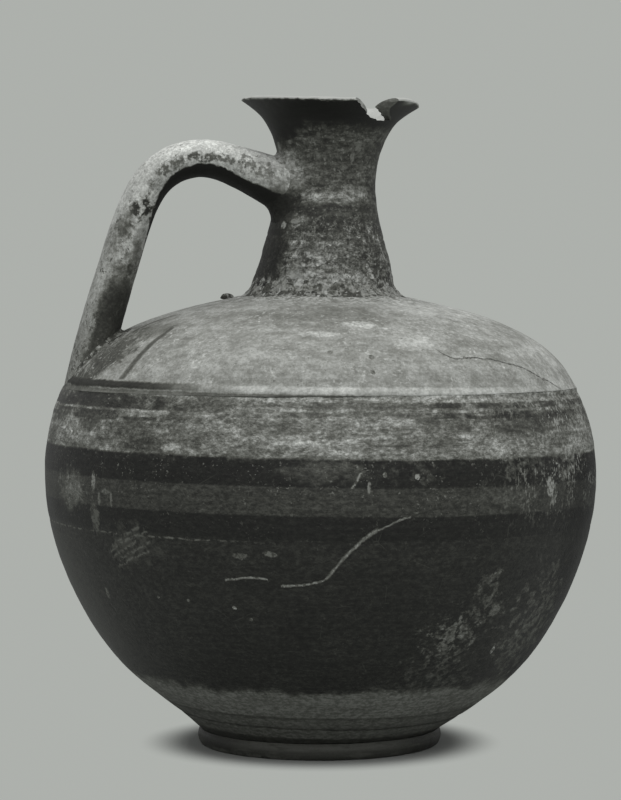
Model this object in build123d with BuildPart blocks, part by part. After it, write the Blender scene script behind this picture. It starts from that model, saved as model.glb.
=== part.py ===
# Wheel-thrown one-handled jug with a globular body, a flared mouth and a broken lip.
# Millimetres, +Z up. The origin is the middle of the resting ring, and the handle stands at -X.
import os
from math import cos, radians, sin

from build123d import *

os.makedirs("parts", exist_ok=True)

# Body: the belly's height is above the ground, the rises are above the belly
belly_radius = 110.0
belly_height = 109.0
seam_rise = 33.6
crown_rise = 72.8
body_wall = 5.2
floor_thickness = 7.0

# Outline from base to belly: shares of the way outwards and of the way up
lower_shares = [(0.292, 0.132), (0.510, 0.249), (0.720, 0.424), (0.921, 0.698)]

# Outline from belly to crown: shares of the belly radius and of the rise
shoulder_shares = [(0.938, 0.436), (0.871, 0.598), (0.697, 0.783), (0.444, 0.910), (0.218, 0.976)]

# Foot ring, a little wider than the bowl's base, with a tongue on top that seats in the bowl
foot_height = 6.5
foot_radius = 48.8
foot_rest_radius = 47.6
foot_ring_width = 10.5
foot_slope = 1.6
foot_bulge_share = 0.5
base_setback = 1.2
tongue_width = 4.5
tongue_height = 1.6

# Neck and mouth, measured along the neck's own leaning axis
neck_offset = 0.9
neck_lean = 2.3
neck_length = 74.7
neck_base_radius = 28.6
throat_radius = 19.4
mouth_radius = 35.6
neck_wall = 5.0
lip_thickness = 2.2

# Neck outline: shares of the way from throat to base or to mouth, and of the neck's length
taper_shares = (0.48, 0.25)
throat_shares = (0.0, 0.60)
bell_shares = (0.18, 0.793)
flare_shares = (0.58, 0.921)
lip_shares = (1.0, 0.986)

# Broken lip, drawn on a plane that faces its bearing about the neck
chip_bearing = -64.0
chip_width = 21.4
chip_depth = 8.8
chip_shares = [
    (-0.50, 0.0),
    (-0.44, -0.27),
    (-0.30, -0.62),
    (-0.12, -0.90),
    (0.14, -0.95),
    (0.43, -1.0),
    (0.50, -0.83),
    (0.46, -0.34),
    (0.48, 0.0),
]

# Handle, an oval strap from the shoulder over to the neck: its reach stays inside the belly,
# its foot is above the belly and its top is under the lip
handle_inset = 6.0
handle_foot_rise = 28.0
handle_drop = 22.5
handle_width = 24.0
handle_thickness = 16.0

# Centre line from neck to shoulder: shares of the reach and of the rise between foot and top
handle_path_shares = [
    (0.11, 0.86),
    (0.315, 0.953),
    (0.475, 1.0),
    (0.636, 0.938),
    (0.723, 0.800),
    (0.784, 0.606),
    (0.838, 0.408),
    (0.890, 0.208),
    (0.930, 0.0),
]

# Sections along the centre line: shares of its length, of the width and of the thickness
handle_section_shares = [
    (0.0, 1.14, 1.42),
    (0.13, 1.04, 1.18),
    (0.26, 0.96, 0.94),
    (0.40, 0.95, 0.93),
    (0.55, 0.98, 1.0),
    (0.72, 1.0, 1.06),
    (0.86, 1.03, 1.06),
    (1.0, 1.08, 0.86),
]

# Clay pressed into the corner between neck and shoulder
luting_spread = 6.0
luting_rise = 6.0
luting_edge = 0.7

# Clay pressed round the handle's ends: places along the centre line, and shares of the spread
smear_spread = 5.0
smear_shift_share = 0.6
neck_smear_shares = [(0.0, 1.35), (0.06, 0.80), (0.10, 0.36), (0.15, 0.12)]
shoulder_smear_shares = [(0.97, 1.1), (0.91, 0.75), (0.85, 0.36), (0.78, 0.12)]

# Every cut runs past its stock by this much
overrun = 4.0

seam_height = belly_height + seam_rise
crown_height = belly_height + crown_rise
base_radius = foot_radius - base_setback
handle_reach = belly_radius - handle_inset
handle_foot = belly_height + handle_foot_rise
handle_rise = crown_height + neck_length - handle_drop - handle_foot
foot_inner_radius = foot_radius - foot_ring_width
tongue_radius = foot_radius - foot_ring_width / 2
bore_radius = neck_base_radius - neck_wall
neck_root = 2 * neck_wall

neck_foot = (neck_offset, 0, crown_height)
neck_direction = (sin(radians(neck_lean)), 0, cos(radians(neck_lean)))
lean_direction = (cos(radians(neck_lean)), 0, -sin(radians(neck_lean)))
neck_axis = Axis(neck_foot, neck_direction)
neck_section = Plane(neck_foot, x_dir=lean_direction, z_dir=(0, -1, 0))
neck_level = Plane(neck_foot, x_dir=lean_direction, z_dir=neck_direction)


def body_outline(inset, floor):
    """Draws half of the body's section, moved in by an inset, from a floor up to the crown."""
    base = base_radius - inset
    radius = belly_radius - inset
    depth = belly_height - floor
    rise = crown_rise - inset
    lower_points = [(base + (radius - base) * x, floor + depth * z) for x, z in lower_shares]
    lower = Spline((base, floor), *lower_points, (radius, belly_height), tangents=[(1.34, 1), (0, 1)])
    upper_points = [(radius * x, belly_height + rise * z) for x, z in shoulder_shares]
    upper = Spline(lower @ 1, *upper_points, (0, belly_height + rise), tangents=[(0, 1), (-1, 0)])
    Polyline(upper @ 1, (0, floor), lower @ 0)


def above_seam(mode):
    """Covers everything above the joint between bowl and shoulder."""
    with Locations((0, seam_height)):
        Rectangle(belly_radius + overrun, crown_height, align=(Align.MIN, Align.MIN), mode=mode)


def neck_point(start_radius, end_radius, shares):
    """Places a point of the neck's outline from its shares of the radii and of the length."""
    return (start_radius + (end_radius - start_radius) * shares[0], neck_length * shares[1])


def neck_outside():
    """Draws the neck's outer line from inside the shoulder up to the lip."""
    root = Line((neck_base_radius, -neck_root), (neck_base_radius, 0))
    return Spline(
        root @ 1,
        neck_point(throat_radius, neck_base_radius, taper_shares),
        neck_point(throat_radius, mouth_radius, throat_shares),
        neck_point(throat_radius, mouth_radius, bell_shares),
        neck_point(throat_radius, mouth_radius, flare_shares),
        neck_point(throat_radius, mouth_radius, lip_shares),
        tangents=[(-0.25, 1), (1, 0.55)],
    )


def neck_inside():
    """Draws the neck's inner line from the lip down to the bore."""
    inner_throat = throat_radius - neck_wall
    inner_mouth = mouth_radius - neck_wall
    return Spline(
        (mouth_radius - lip_thickness, neck_length),
        neck_point(inner_throat, inner_mouth, flare_shares),
        neck_point(inner_throat, inner_mouth, bell_shares),
        neck_point(inner_throat, inner_mouth, throat_shares),
        neck_point(inner_throat, bore_radius, taper_shares),
        (bore_radius, 0),
        tangents=[(-1, -0.45), (0.25, -1)],
    )


def across_handle(place):
    """Returns the plane square to the handle's centre line, at a share of its length."""
    return Plane(centre_line @ place, x_dir=(0, 1, 0), z_dir=centre_line % place)


def handle_oval(place):
    """Returns half the handle's width and half its thickness, between the sections beside a place."""
    for start, end in zip(handle_section_shares, handle_section_shares[1:]):
        if start[0] <= place <= end[0]:
            share = (place - start[0]) / (end[0] - start[0])
            width_share, thickness_share = (a + (b - a) * share for a, b in zip(start[1:], end[1:]))
    return handle_width * width_share / 2, handle_thickness * thickness_share / 2


# Filled forms of body, bore and neck, which shape what is pressed against them
with BuildPart() as body_form:
    with BuildSketch(Plane.XZ):
        with BuildLine():
            body_outline(0, foot_height)
        make_face()
    revolve(axis=Axis.Z)

with BuildPart() as bore_form:
    with BuildSketch(neck_level):
        Circle(bore_radius)
    extrude(amount=neck_root + overrun, both=True)

with BuildPart() as neck_form:
    with BuildSketch(neck_section):
        with BuildLine():
            lip = neck_outside() @ 1
            Polyline(lip, (0, lip.Y), (0, -neck_root), (neck_base_radius, -neck_root))
        make_face()
    revolve(axis=neck_axis)

# Foot ring: a turned coil with a rounded flank
with BuildPart() as foot_ring:
    with BuildSketch(Plane.XZ):
        with BuildLine():
            flank = ThreePointArc(
                (foot_rest_radius, 0),
                (foot_radius, foot_height * foot_bulge_share),
                (foot_radius - foot_slope / 2, foot_height),
            )
            Polyline(
                flank @ 1,
                (foot_inner_radius, foot_height),
                (foot_inner_radius + foot_slope, 0),
                flank @ 0,
            )
        make_face()
        with Locations((tongue_radius, foot_height)):
            Rectangle(tongue_width, tongue_height, align=(Align.CENTER, Align.MIN))
    revolve(axis=Axis.Z)
foot_ring.part.label = "foot_ring"
export_step(foot_ring.part, "parts/foot_ring.step")

# Thrown wall of the whole body, which bowl and shoulder share
with BuildSketch(Plane.XZ) as wall_profile:
    with BuildLine():
        body_outline(0, foot_height)
    make_face()
    with BuildLine():
        body_outline(body_wall, foot_height + floor_thickness)
    make_face(mode=Mode.SUBTRACT)

# Bowl: floor and lower wall, thrown in one piece up to the joint at the shoulder
with BuildPart() as body_bowl:
    with BuildSketch(Plane.XZ):
        add(wall_profile.sketch_local)
        above_seam(Mode.SUBTRACT)
        with Locations((tongue_radius, foot_height)):
            Rectangle(
                tongue_width, tongue_height, align=(Align.CENTER, Align.MIN), mode=Mode.SUBTRACT
            )
    revolve(axis=Axis.Z)
body_bowl.part.label = "body_bowl"
export_step(body_bowl.part, "parts/body_bowl.step")

# Shoulder: the closing dome, butted on the bowl's edge and opened for the neck
with BuildPart() as shoulder_dome:
    with BuildSketch(Plane.XZ):
        add(wall_profile.sketch_local)
        above_seam(Mode.INTERSECT)
    revolve(axis=Axis.Z)
    add(bore_form.part, mode=Mode.SUBTRACT)
shoulder_dome.part.label = "shoulder_dome"
export_step(shoulder_dome.part, "parts/shoulder_dome.step")

# Neck: thrown apart with its flared mouth, seated on the shoulder, its lip broken
with BuildPart() as neck:
    with BuildSketch(neck_section):
        with BuildLine():
            outside = neck_outside()
            inside = neck_inside()
            Line(outside @ 1, inside @ 0)
            Polyline(inside @ 1, (bore_radius, -neck_root), (neck_base_radius, -neck_root))
        make_face()
    revolve(axis=neck_axis)
    add(body_form.part, mode=Mode.SUBTRACT)
    bearing = Vector(1, 0, 0).rotate(Axis.Z, chip_bearing)
    across = Vector(0, 0, 1).cross(bearing)
    with BuildSketch(Plane(neck_level.offset(neck_length).origin, x_dir=across, z_dir=bearing)):
        with BuildLine():
            edge = [(chip_width * u, chip_depth * v) for u, v in chip_shares]
            Polyline(*edge, (edge[-1][0], overrun), (edge[0][0], overrun), close=True)
        make_face()
    extrude(amount=mouth_radius + overrun, mode=Mode.SUBTRACT)
neck.part.label = "neck"
export_step(neck.part, "parts/neck.step")

# Neck luting: a coil of clay that fills the corner between neck and shoulder
with BuildPart() as neck_luting:
    with BuildSketch(neck_section):
        with BuildLine():
            top = (neck_base_radius - luting_edge, luting_rise)
            toe = (neck_base_radius + luting_spread, -neck_wall)
            Spline(top, toe, tangents=[(0.25, -1), (1, -0.8)])
            Polyline(toe, (bore_radius, -neck_root), (bore_radius, luting_rise), top)
        make_face()
    revolve(axis=neck_axis)
    add(neck_form.part, mode=Mode.SUBTRACT)
    add(body_form.part, mode=Mode.SUBTRACT)
neck_luting.part.label = "neck_luting"
export_step(neck_luting.part, "parts/neck_luting.step")

# Handle: one oval strap, its ends shaped to the neck and to the shoulder
with BuildLine(Plane.XZ) as handle_path:
    points = [(-handle_reach * x, handle_foot + handle_rise * z) for x, z in handle_path_shares]
    centre_line = Spline(*points)

with BuildPart() as handle:
    for place, *_ in handle_section_shares:
        with BuildSketch(across_handle(place)):
            Ellipse(*handle_oval(place))
    loft()
    add(body_form.part, mode=Mode.SUBTRACT)
    add(neck_form.part, mode=Mode.SUBTRACT)
handle.part.label = "handle"
export_step(handle.part, "parts/handle.step")

# Clay pressed round the handle where it joins the neck
with BuildPart() as handle_neck_luting:
    for place, spread_share in neck_smear_shares:
        spread = smear_spread * spread_share
        with BuildSketch(across_handle(place)):
            with Locations((0, spread * smear_shift_share)):
                Ellipse(*(half + spread for half in handle_oval(place)))
    loft()
    add(handle.part, mode=Mode.SUBTRACT)
    add(neck_form.part, mode=Mode.SUBTRACT)
handle_neck_luting.part.label = "handle_neck_luting"
export_step(handle_neck_luting.part, "parts/handle_neck_luting.step")

# Clay pressed round the handle where it joins the shoulder
with BuildPart() as handle_shoulder_luting:
    for place, spread_share in shoulder_smear_shares:
        spread = smear_spread * spread_share
        with BuildSketch(across_handle(place)):
            with Locations((0, spread * smear_shift_share)):
                Ellipse(*(half + spread for half in handle_oval(place)))
    loft()
    add(handle.part, mode=Mode.SUBTRACT)
    add(body_form.part, mode=Mode.SUBTRACT)
handle_shoulder_luting.part.label = "handle_shoulder_luting"
export_step(handle_shoulder_luting.part, "parts/handle_shoulder_luting.step")
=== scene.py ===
# Looks of the wheel-thrown jug: displaced skins over the CAD frame, worn slip, bare clay and lime crust.
# Lengths are in millimetres until a mesh is made. Bearings are in degrees from the photo's camera
# direction, positive towards the image's right. Tones are print greys from 0 black to 1 white.
from math import cos, degrees, pi, radians, sin

import bpy
import numpy as np
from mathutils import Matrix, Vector


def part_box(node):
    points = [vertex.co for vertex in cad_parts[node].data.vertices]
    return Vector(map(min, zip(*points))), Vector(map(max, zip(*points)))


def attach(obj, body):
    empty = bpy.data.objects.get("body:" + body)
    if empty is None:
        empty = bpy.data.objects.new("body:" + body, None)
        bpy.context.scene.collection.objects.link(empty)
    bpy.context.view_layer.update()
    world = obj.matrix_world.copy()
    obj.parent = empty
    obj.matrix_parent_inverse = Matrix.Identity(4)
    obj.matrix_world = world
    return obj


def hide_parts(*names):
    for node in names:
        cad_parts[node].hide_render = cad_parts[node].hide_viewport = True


MM = 0.001

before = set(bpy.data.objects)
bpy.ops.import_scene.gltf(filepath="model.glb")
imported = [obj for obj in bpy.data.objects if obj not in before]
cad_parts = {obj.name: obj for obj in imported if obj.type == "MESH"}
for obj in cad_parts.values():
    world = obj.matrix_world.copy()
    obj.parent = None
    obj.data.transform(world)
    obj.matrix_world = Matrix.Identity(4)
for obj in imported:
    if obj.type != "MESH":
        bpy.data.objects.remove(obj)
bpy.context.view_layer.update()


def frame_box(node):
    """Returns the lowest and highest corners of a CAD node in millimetres."""
    return [np.array(corner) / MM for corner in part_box(node)]


# The photo and the camera that took it
photo_width, photo_height = 621, 800
camera_lens = 124.0
sensor_size = 36.0
camera_bearing = radians(-9.0)
camera_distance = 1102.0
eye_height = 181.0
aim_height = 137.2
camera_shift = -3.96
pixels_per_radian = camera_lens / sensor_size * photo_height

toward_camera = np.array((sin(camera_bearing), -cos(camera_bearing), 0.0))
image_right = np.array((cos(camera_bearing), sin(camera_bearing), 0.0))
upward = np.array((0.0, 0.0, 1.0))
eye = toward_camera * camera_distance + image_right * camera_shift + upward * eye_height
aim = image_right * camera_shift + upward * aim_height
view_ahead = (aim - eye) / np.linalg.norm(aim - eye)
view_up = np.cross(image_right, view_ahead)
hit_steps = 6000

# Body
bowl_low, bowl_high = frame_box("body_bowl")
belly_radius = bowl_high[1]
seam_height = bowl_high[2]
foot_height = bowl_low[2]
belly_height = 109.0
crown_height = 181.8
base_radius = 47.6
body_wall = 5.2
floor_thickness = 7.0
centre_radius = 3.0
lower_shares = [(0.292, 0.132), (0.510, 0.249), (0.720, 0.424), (0.921, 0.698)]
shoulder_shares = [(0.938, 0.436), (0.871, 0.598), (0.697, 0.783), (0.444, 0.910), (0.218, 0.976)]

# How far the thrower's centre wanders to the image's right, by height
wander_heights = [0.0, 6.0, 11.0, 15.0, 22.0, 35.0, 50.0, 70.0, 90.0, 110.0, 125.0, 140.0, 160.0]
wander_shifts = [-0.4, -0.4, 0.8, 1.4, 1.6, 1.1, 0.6, 0.4, 0.1, 0.0, -0.2, -0.6, 0.0]

# Foot ring
foot_radius = frame_box("foot_ring")[1][1]
foot_rest_radius = 47.4
foot_ring_width = 10.5
foot_edge = 0.9
foot_gap = 0.15

# How far the foot's flank stays inside its radius and laps under the bowl, how far from the ring's
# inner wall its edge, its gap and its resting face start, and where that face ends
foot_inset, foot_lap = 0.1, 0.3
edge_start, gap_start, rest_start = 1.6, 2.2, 3.0
rest_margin = 0.6

# Neck and mouth, measured along the neck's own leaning axis
neck_offset = 0.9
neck_lean = radians(2.3)
neck_length = 74.7
neck_base_radius = 28.6
throat_radius = 19.4
mouth_radius = 35.6
neck_wall = 5.0
lip_thickness = 2.2
lip_crest = (-0.35, 0.75)
neck_root = 2.5
taper_shares = (0.48, 0.25)
bell_shares = [(0.0, 0.60), (0.18, 0.793), (0.58, 0.921), (0.99, 0.984)]

# Broken lip: photo pixels of the break on the outer face, and how far its wall leans to the right
# for each millimetre that it goes in
chip_bearing = 38.0
chip_points = [
    ((355.0, 99.0), 1.9), ((358.0, 103.0), 1.8), ((362.5, 109.0), 1.3), ((367.0, 115.0), 0.7),
    ((371.0, 119.0), 0.4), ((383.0, 121.0), 0.5), ((390.5, 120.5), 0.8), ((391.5, 113.0), -0.1),
    ((393.5, 107.0), -0.9), ((398.0, 101.5), -0.9),
]

# Its cutter: how far it passes the lip, how much wider it gets up there, and where it starts
overrun = 4.0
top_spread = 1.0
cutter_start = 0.6 * throat_radius

# How the lip waves: bearing of the middle, half width in degrees, rise in millimetres. The waves
# start below the lip's edge and are full some way up.
lip_waves = [(-14.0, 42.0, -0.8), (62.0, 20.0, 1.1)]
wave_start, wave_softness = 14, 12

# Where the lower neck stands to the image's right: shift, middle height and half height
neck_shift = (0.6, 11.0, 9.0)

# Clay pressed round the neck's root: middle and swing of its rise and spread
luting_rise = (4.6, 1.4)
luting_spread = (6.2, 1.4)

# How far the edges of pressed clay are tucked into their neighbours, and how thick its back is
edge_tuck = 0.35
luting_sink = 0.45
luting_backing = 1.6
root_sink = 0.3
root_backing = 1.8
corner_backing = 2.0

# Handle: its path, and its section as share of the length, of the width and of the thickness
handle_reach = 102.0
handle_foot = 137.0
handle_rise = 97.0
handle_width = 24.0
handle_thickness = 16.0
handle_roundness = 0.93
handle_sunk = 2.2
handle_path_shares = [
    (0.11, 0.86), (0.315, 0.955), (0.475, 0.993), (0.627, 0.933), (0.714, 0.800),
    (0.778, 0.606), (0.835, 0.408), (0.889, 0.208), (0.938, 0.0),
]
handle_section_shares = [
    (0.0, 1.14, 1.36), (0.12, 1.04, 1.09), (0.18, 1.0, 0.99), (0.26, 0.96, 0.92), (0.40, 0.95, 0.92),
    (0.55, 0.98, 0.96), (0.72, 1.0, 0.99), (0.86, 1.03, 1.02), (1.0, 1.08, 0.92),
]

# Crumb of lime on the shoulder: distance from the axis and half sizes
crumb_radius = 37.4
crumb_size = (2.4, 1.6, 1.2)
crumb_lift = 0.7

# Mesh fineness
turn_columns = 384
row_step = 0.85
inner_step = 4.0
fine_steps = 60
luting_rows = 14
root_rows = 18
handle_step = 0.9
handle_columns = 112
handle_rows = 220
handle_end = 12.0
meeting_step = 0.25
neck_inner_step = 1.2
lip_step = 0.5
chip_step = 0.45
cutter_step = 0.6
rest_step = 1.2
sharp_angle = radians(48)
broken_sharp_angle = radians(38)

# Step between the points of the neck's wall that its material follows
wall_step = 6.0

# How the painted bands tilt: the image's right side is lower
band_tilt = 0.0148


def even_steps(line, step):
    """Redraws a line with points about one step apart."""
    line = np.array(line, float)
    along = np.concatenate([[0], np.cumsum(np.linalg.norm(np.diff(line, axis=0), axis=1))])
    places = np.linspace(0, along[-1], max(int(round(along[-1] / step)), 1) + 1)
    return np.stack([np.interp(places, along, line[:, k]) for k in range(line.shape[1])], axis=1)


def smooth_line(points, start, end, step):
    """Draws a smooth curve through points, with its first and last directions, in even steps."""
    points = np.array(points, float)
    gaps = np.diff(points, axis=0)
    chords = np.linalg.norm(gaps, axis=1)
    system = np.eye(len(points))
    wanted = np.zeros_like(points)
    wanted[0] = np.array(start) / np.linalg.norm(start)
    wanted[-1] = np.array(end) / np.linalg.norm(end)
    for i in range(1, len(points) - 1):
        before, after = chords[i - 1], chords[i]
        system[i, i - 1:i + 2] = after, 2 * (before + after), before
        wanted[i] = 3 * (after / before * gaps[i - 1] + before / after * gaps[i])
    speeds = np.linalg.solve(system, wanted)
    s = np.linspace(0, 1, fine_steps, endpoint=False)[:, None]
    parts = [
        (2 * s**3 - 3 * s**2 + 1) * points[i]
        + (s**3 - 2 * s**2 + s) * chord * speeds[i]
        + (3 * s**2 - 2 * s**3) * points[i + 1]
        + (s**3 - s**2) * chord * speeds[i + 1]
        for i, chord in enumerate(chords)
    ]
    return even_steps(np.vstack([*parts, points[-1:]]), step)


def bend(start, corner, end, steps):
    """Draws a grid of quadratic curves from start over corner to end."""
    s = np.linspace(0, 1, steps)[:, None, None]
    return (1 - s) ** 2 * start + 2 * s * (1 - s) * corner + s**2 * end


def value_noise(points, cell, seed):
    """Returns smooth random values from -1 to 1, with one lattice cell of the given size."""
    spot = points / cell + seed * 31.7
    corner = np.floor(spot).astype(np.int64)
    share = spot - corner
    share = share * share * (3 - 2 * share)
    total = np.zeros(points.shape[:-1])
    for offset in np.ndindex(2, 2, 2):
        key = (corner + offset) * (73856093, 19349663, 83492791)
        mixed = (key[..., 0] ^ key[..., 1] ^ key[..., 2]) + seed * 1013904223
        mixed = ((mixed ^ (mixed >> 13)) * 1274126177) & 0x7FFFFFFF
        value = ((mixed ^ (mixed >> 16)) & 0xFFFF) / 32767.5 - 1
        total += np.prod(np.where(offset, share, 1 - share), axis=-1) * value
    return total


def uneven(points, *layers):
    """Adds up noises at points, each with its strength, cell size and seed."""
    return sum(strength * value_noise(points, cell, seed) for strength, cell, seed in layers)


def bump(values, centre, half_width):
    """Returns a bell-shaped weight round a centre."""
    return np.exp(-(((values - centre) / half_width) ** 2))


class Wheel:
    """An axis of turning, which may lean towards +X, and the outline turned about it."""

    def __init__(self, foot, lean, outline):
        self.foot = np.array(foot, float)
        self.across = np.array((cos(lean), 0.0, -sin(lean)))
        self.up = np.array((sin(lean), 0.0, cos(lean)))
        self.front = self.lay(toward_camera)
        self.right = self.lay(image_right)
        self.radii, self.heights = outline.T

    def lay(self, direction):
        """Lays a level direction onto this wheel's own level."""
        return direction[0] * self.across + direction[1] * np.array((0.0, 1.0, 0.0))

    def turn(self, section, bearings):
        """Sweeps (radius, height) points round the axis: rows of the section by columns of bearings."""
        section = np.array(section)
        around = np.cos(bearings)[:, None] * self.front + np.sin(bearings)[:, None] * self.right
        radii, heights = section.T[:, :, None, None]
        return self.foot + radii * around[None] + heights * self.up

    def measure(self, points):
        """Returns radius, bearing in radians and height of points about this axis."""
        local = points - self.foot
        ahead, sideways = local @ self.front, local @ self.right
        return np.hypot(ahead, sideways), np.arctan2(sideways, ahead), local @ self.up

    def radius_at(self, height):
        """Returns the outline's radius at a height."""
        return np.interp(height, self.heights, self.radii)

    def outside(self, points):
        """Returns how far points lie outside the outline."""
        radius, _, height = self.measure(points)
        return radius - self.radius_at(height)

    def onto(self, points):
        """Moves points level onto the outline."""
        radius, _, height = self.measure(points)
        axis = self.foot + height[..., None] * self.up
        return axis + (points - axis) * (self.radius_at(height) / radius)[..., None]

    def spot(self, pixel):
        """Finds where a photo pixel falls on the outline: bearing in degrees and height."""
        column, row = pixel
        ray = (
            view_ahead
            + image_right * (column - photo_width / 2) / pixels_per_radian
            - view_up * (row - photo_height / 2) / pixels_per_radian
        )
        reach = np.linspace(camera_distance - belly_radius * 1.1, camera_distance + belly_radius, hit_steps)
        radius, bearing, height = self.measure(eye + ray * reach[:, None])
        depth = radius - self.radius_at(height)
        inside = np.nonzero(depth <= 0)[0]
        hit = inside[0] if len(inside) else np.argmin(depth)
        return degrees(bearing[hit]), height[hit]


def body_line(inset, floor, step):
    """Draws half of the body's section, moved in by an inset, from a floor up to the crown."""
    base, radius = base_radius - inset, belly_radius - inset
    depth, rise = belly_height - floor, crown_height - belly_height - inset
    lower = [(base + (radius - base) * x, floor + depth * z) for x, z in lower_shares]
    upper = [(radius * x, belly_height + rise * z) for x, z in shoulder_shares]
    points = [(base, floor), *lower, (radius, belly_height), *upper, (0, belly_height + rise)]
    return smooth_line(points, (1.34, 1), (-1, 0), step)


def neck_points(inset):
    """Places the points of the neck's outline from its foot to the lip, moved in by an inset."""
    base, throat, mouth = neck_base_radius - inset, throat_radius - inset, mouth_radius - inset
    taper = (throat + (base - throat) * taper_shares[0], neck_length * taper_shares[1])
    bell = [(throat + (mouth - throat) * x, neck_length * z) for x, z in bell_shares]
    return [(base, 0), taper, *bell]


def neck_outer_line(step):
    """Draws the neck's outer line from the shoulder up to the lip."""
    return smooth_line(neck_points(0), (-0.25, 1), (1, 0.62), step)


body_outside = body_line(0, foot_height, row_step)
neck_outside = neck_outer_line(row_step)
body_wheel = Wheel((0, 0, 0), 0.0, body_outside)
neck_wheel = Wheel((neck_offset, 0, crown_height), neck_lean, neck_outside)
bearings = np.linspace(0, 2 * pi, turn_columns, endpoint=False)

# The handle's middle line, drawn on past both ends, with its half width and half thickness
handle_points = [(-handle_reach * x, 0, handle_foot + handle_rise * z) for x, z in handle_path_shares]
handle_line = smooth_line(handle_points, (-1, 0, 0.5), (-0.16, 0, -1), handle_step)
handle_length = (len(handle_line) - 1) * handle_step
handle_section = np.array(handle_section_shares) * (handle_length, handle_width / 2, handle_thickness / 2)
handle_angles = np.linspace(2 * pi, 0, handle_columns, endpoint=False)
handle_overshoot = np.array((handle_line[0] - handle_line[1], handle_line[-1] - handle_line[-2]))
handle_ends = handle_line[[0, -1]] + handle_overshoot * handle_end / handle_step
handle_axis = np.vstack([handle_ends[0], handle_line, handle_ends[1]])
handle_places = [-handle_end, *np.arange(len(handle_line)) * handle_step, handle_length + handle_end]


def wander(points):
    """Shifts the body's sections sideways as the thrower's centre wandered."""
    shift = np.interp(points[..., 2], wander_heights, wander_shifts)
    return points + shift[..., None] * image_right


# Ridge and grooves turned into the body: rise, height and half width
body_ridges = [
    (0.34, 144.2, 1.1), (-0.30, 142.5, 0.55), (-0.12, 137.2, 0.5), (-0.10, 89.6, 0.5), (-0.42, 13.4, 0.45),
]

# Groove turned into the neck: depth, height and half width
neck_groove = (0.22, 20.6, 0.5)

# Where weathering starts and how soon it is full: on the shoulder by distance from the axis, on the
# neck by height, and on the lip by depth under its edge
root_edge, root_softness = 47, 12
crust_top, crust_softness = 24, 20
worn_lip_depth = 2.2


def clay_relief(points):
    """Returns how far the thrown and weathered surface of the body stands out at points."""
    height = points[..., 2] + band_tilt * (points @ image_right)
    radius = np.hypot(points[..., 0], points[..., 1])
    relief = uneven(points, (0.40, 110.0, 1), (0.16, 26.0, 2), (0.07, 9.0, 3), (0.045, 2.6, 4))
    relief += uneven(points / (60, 60, 1), (0.09, 3.4, 5))
    for rise, middle, half_width in body_ridges:
        relief += rise * bump(height, middle, half_width)
    near_neck = np.clip((root_edge - radius) / root_softness, 0, 1) * (points[..., 2] > belly_height)
    return relief + near_neck * 0.30 * np.clip(value_noise(points, 3.2, 6), -0.2, 1)


def neck_relief(points):
    """Returns how far the neck's turned and crusted surface stands out at points."""
    height = neck_wheel.measure(points)[2]
    turned = np.stack([points[..., 0] / 40, points[..., 1] / 40, height], axis=-1)
    relief = uneven(points, (0.20, 30.0, 11), (0.09, 8.0, 12), (0.05, 2.2, 13))
    relief += uneven(turned, (0.10, 3.0, 14))
    relief -= neck_groove[0] * bump(height, *neck_groove[1:])
    crust = np.clip((crust_top - height) / crust_softness, 0, 1)
    relief += crust * 0.36 * np.clip(value_noise(points, 2.8, 15), -0.1, 1)
    worn_lip = np.clip((height - neck_length) / worn_lip_depth + 1, 0, 1)
    return relief - worn_lip * 0.30 * np.clip(value_noise(points, 2.4, 16), 0, 1)


def push(grid, amount):
    """Moves a grid of points along its normals, for rows that run up and columns that go round."""
    along = np.gradient(grid, axis=0)
    around = np.roll(grid, -1, axis=1) - np.roll(grid, 1, axis=1)
    normal = np.cross(around, along)
    normal /= np.maximum(np.linalg.norm(normal, axis=-1, keepdims=True), 1e-9)
    return grid + amount[..., None] * normal


def make_object(name, grid, materials, ring):
    """Makes a mesh from a grid that closes round its columns, and round its rows or with two caps."""
    rows, columns = grid.shape[:2]
    ids = np.arange(rows * columns).reshape(rows, columns)
    lower, upper = (ids, np.roll(ids, -1, axis=0)) if ring else (ids[:-1], ids[1:])
    quads = np.stack([lower, np.roll(lower, -1, axis=1), np.roll(upper, -1, axis=1), upper], axis=-1)
    faces = quads.reshape(-1, 4).tolist()
    if not ring:
        faces += [ids[0, ::-1].tolist(), ids[-1].tolist()]
    mesh = bpy.data.meshes.new(name)
    mesh.from_pydata((grid.reshape(-1, 3) * MM).tolist(), [], faces)
    for material in materials:
        mesh.materials.append(material)
    mesh.shade_smooth()
    mesh.set_sharp_from_angle(angle=sharp_angle)
    return show(bpy.data.objects.new(name, mesh))


def show(made):
    """Puts a new object into the scene."""
    bpy.context.scene.collection.objects.link(made)
    return made


def fit_piece(piece, node=None):
    """Lets a piece ride the jug's one body and stand for its CAD node."""
    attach(piece, "root")
    if node:
        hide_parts(node)


def store(piece, name, values):
    """Stores a number for each vertex of a piece, for its material."""
    attribute = piece.data.attributes.new(name, "FLOAT", "POINT")
    attribute.data.foreach_set("value", np.asarray(values, np.float32).ravel())


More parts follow.
